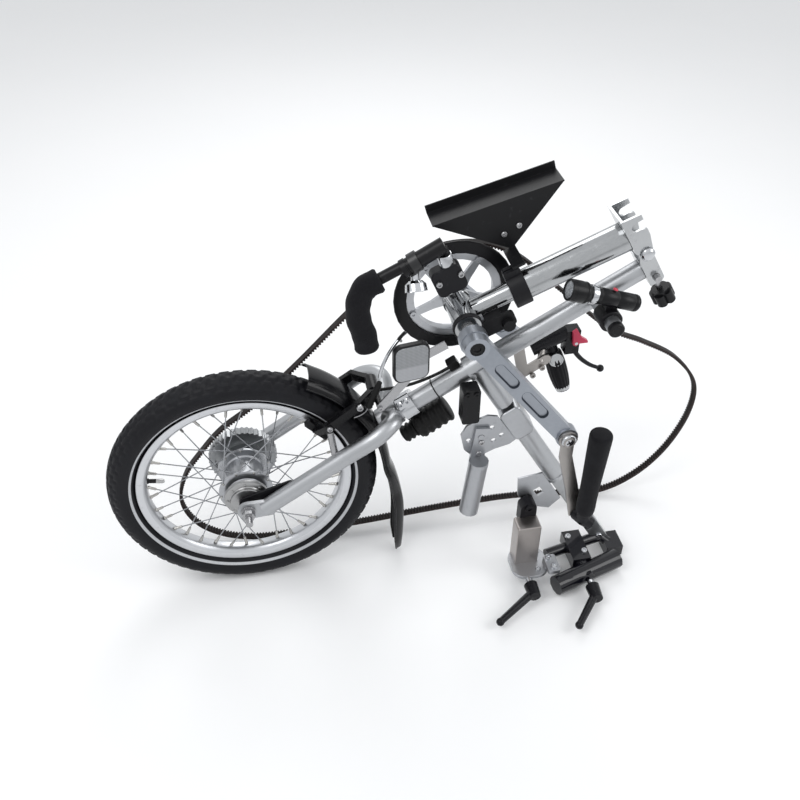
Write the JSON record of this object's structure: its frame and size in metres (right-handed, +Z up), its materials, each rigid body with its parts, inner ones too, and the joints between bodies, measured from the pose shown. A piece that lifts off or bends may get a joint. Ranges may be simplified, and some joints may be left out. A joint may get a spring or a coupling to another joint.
{
  "type": "folded handcycle attachment",
  "caption": "Handcycle front unit folded for transport: spoked wheel in a fork, straight main tube, crank mast laid back over it, slack toothed belt and a docking beam with clamps.",
  "frame": {"origin": "centre of the near end face of the wheel axle", "axes": "+X from the wheel towards the mast hinge, +Y along the axle from the near end to the belt side, +Z up with the part standing as it is parked"},
  "size_m": [0.9452, 0.41, 0.6375],
  "materials": {
    "belt": "matte",
    "black_coat": "satin powder coat",
    "blued_satin": "fine satin",
    "bright_steel": "bright",
    "clear": "clear",
    "foam": "matte foam",
    "gloss_black": "gloss",
    "grey_plate": "satin",
    "polished_metal": "polished",
    "red_plastic": "satin",
    "satin_aluminium": "satin",
    "tyre": "matte",
    "worn_steel": "brushed"
  },
  "bodies": {
    "frame": {"axle": "bright_steel", "hub_brake_drum": "bright_steel", "torque_arm": "black_coat", "fork": "satin_aluminium", "main_tube": "satin_aluminium", "crown_collar": "polished_metal", "hinge_bracket": "polished_metal", "hinge_pin": "bright_steel", "mudguard": "gloss_black", "toothed_belt": "belt", "reflector": "clear", "reflector_bracket": "bright_steel", "rim_brake": "black_coat", "brake_cable": "black_coat", "tube_cable": "black_coat", "tube_boots": "foam", "dock_stem": "satin_aluminium", "latch_box": "black_coat"},
    "wheel": {"tyre": "tyre", "rim": "bright_steel", "spoked_hub": "bright_steel"},
    "driver": {"rear_belt_wheel": "bright_steel"},
    "swing": {"swing_bolt": "bright_steel"},
    "star": {"star_knob": "black_coat"},
    "mast": {"mast_outer": "polished_metal", "mast_bracket": "polished_metal", "mast_collar": "black_coat", "guard_tray": "black_coat"},
    "slide": {"mast_inner": "polished_metal", "clamp_block": "black_coat", "support_tube": "black_coat", "support_grip": "foam", "bell": "polished_metal", "tensioner": "black_coat"},
    "crank": {"front_pulley": "blued_satin", "belt_guard_ring": "black_coat", "crank_axle": "bright_steel", "near_crank_arm": "blued_satin", "far_crank_arm": "blued_satin"},
    "near_handle": {"near_handle_strap": "worn_steel", "near_handle_elbow": "black_coat", "near_handle_grip": "foam"},
    "far_handle": {"far_handle_strap": "worn_steel", "brake_lever_body": "black_coat"},
    "lever": {"brake_lever": "black_coat"},
    "latch": {"parking_latch": "red_plastic"},
    "shifter": {"twist_shifter": "black_coat"},
    "headlight": {"headlight_body": "black_coat", "headlight_lens": "clear"},
    "beam": {"dock_block": "polished_metal", "dock_tube": "satin_aluminium", "sector_plate": "grey_plate", "clamp_plate": "grey_plate", "left_clevis": "black_coat", "left_clamp": "grey_plate"},
    "bar": {"dock_bar": "satin_aluminium", "right_clamp": "gloss_black"},
    "leg": {"stand_leg": "grey_plate"},
    "left_knob": {"left_lever": "black_coat"},
    "right_knob": {"right_lever": "black_coat"}
  },
  "joints": [
    {"name": "wheel_spin", "type": "hinge", "parent": "frame", "child": "wheel", "pos_m": [0, 0.095, 0], "axis": [0, 1, 0], "continuous": true},
    {"name": "driver_spin", "type": "hinge", "parent": "frame", "child": "driver", "pos_m": [0, 0.095, 0], "axis": [0, 1, 0], "continuous": true},
    {"name": "mast_fold", "type": "hinge", "parent": "frame", "child": "mast", "pos_m": [0.56998, 0.095, 0.33983], "axis": [0, 1, 0], "range_deg": [0, 180], "deforming": ["toothed_belt", "brake_cable"]},
    {"name": "mast_slide", "type": "slide", "parent": "mast", "child": "slide", "axis": [-0.9164, 0, -0.4003], "range_m": [0, 0.022], "deforming": ["toothed_belt", "brake_cable"]},
    {"name": "crank_spin", "type": "hinge", "parent": "slide", "child": "crank", "pos_m": [0.324, 0.095, 0.258], "axis": [0, 1, 0], "continuous": true},
    {"name": "near_handle_turn", "type": "hinge", "parent": "crank", "child": "near_handle", "pos_m": [0.45331, -0.015, 0.10938], "axis": [0, 1, 0], "continuous": true},
    {"name": "far_handle_turn", "type": "hinge", "parent": "crank", "child": "far_handle", "pos_m": [0.45331, 0.22, 0.10938], "axis": [0, 1, 0], "continuous": true},
    {"name": "brake_lever_pull", "type": "hinge", "parent": "far_handle", "child": "lever", "pos_m": [0.56051, 0.249, 0.05848], "axis": [0, 1, 0], "range_deg": [0, 18], "stiffness_Nm_per_rad": 0.8},
    {"name": "parking_latch_tip", "type": "hinge", "parent": "far_handle", "child": "latch", "pos_m": [0.55941, 0.2342, 0.07648], "axis": [0, -1, 0], "range_deg": [0, 20]},
    {"name": "shifter_twist", "type": "hinge", "parent": "far_handle", "child": "shifter", "pos_m": [0.52901, 0.257, 0.04698], "axis": [0.2695, -0.2964, -0.9162], "range_deg": [-20, 20]},
    {"name": "swing_bolt_swing", "type": "hinge", "parent": "frame", "child": "swing", "pos_m": [0.59211, 0.095, 0.29832], "axis": [0, 1, 0], "range_deg": [-100, 0]},
    {"name": "star_knob_turn", "type": "hinge", "parent": "swing", "child": "star", "pos_m": [0.62155, 0.095, 0.24835], "axis": [0.5075, 0, -0.8616], "continuous": true},
    {"name": "headlight_tilt", "type": "hinge", "parent": "frame", "child": "headlight", "pos_m": [0.51517, 0.043, 0.26344], "axis": [0, 1, 0], "range_deg": [-15, 15]},
    {"name": "dock_fold", "type": "hinge", "parent": "frame", "child": "beam", "pos_m": [0.40792, 0.07266, 0.07522], "axis": [-0.0668, -0.9918, 0.1093], "range_deg": [0, 60]},
    {"name": "dock_bar_slide", "type": "slide", "parent": "beam", "child": "bar", "axis": [0.5172, -0.128, -0.8463], "range_m": [0, 0.04]},
    {"name": "stand_leg_fold", "type": "hinge", "parent": "beam", "child": "leg", "pos_m": [0.352, 0.056, 0.06], "axis": [0, 1, 0], "range_deg": [0, 75]},
    {"name": "left_lever_turn", "type": "hinge", "parent": "beam", "child": "left_knob", "pos_m": [0.419, -0.045, -0.175], "axis": [0, 1, 0], "range_deg": [0, 120]},
    {"name": "right_lever_turn", "type": "hinge", "parent": "bar", "child": "right_knob", "pos_m": [0.515, -0.063, -0.179], "axis": [-0.0384, -0.9993, 0], "range_deg": [-120, 0]}
  ]
}
